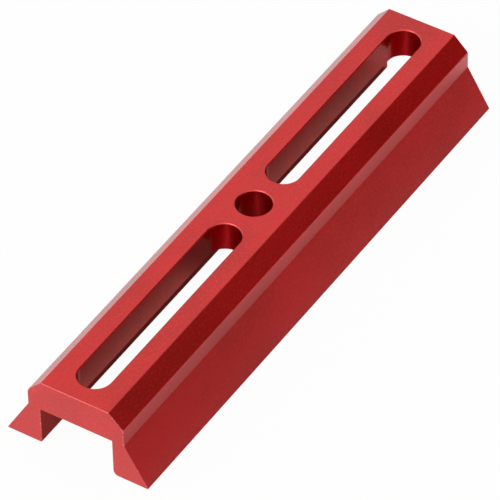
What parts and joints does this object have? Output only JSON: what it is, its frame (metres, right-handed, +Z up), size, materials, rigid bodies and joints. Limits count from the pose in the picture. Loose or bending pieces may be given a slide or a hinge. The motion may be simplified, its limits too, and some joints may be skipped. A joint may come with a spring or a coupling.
{
  "type": "dovetail mounting bar",
  "caption": "Straight anodised aluminium mounting bar with flaring dovetail feet, an open channel underneath, and long through slots either side of a plain centre hole.",
  "frame": {"origin": "on the plane of the two feet, under the axis of the centre hole", "axes": "+X along the bar, +Y across it towards the foot with the crisp inner heel, +Z up through the centre hole"},
  "size_m": [0.125, 0.0318, 0.016],
  "materials": {
    "red_anodised_aluminium": "red anodised over a fine satin blast, with bright broken edges"
  },
  "bodies": {
    "root": {"mounting_bar": "red_anodised_aluminium"}
  },
  "joints": []
}
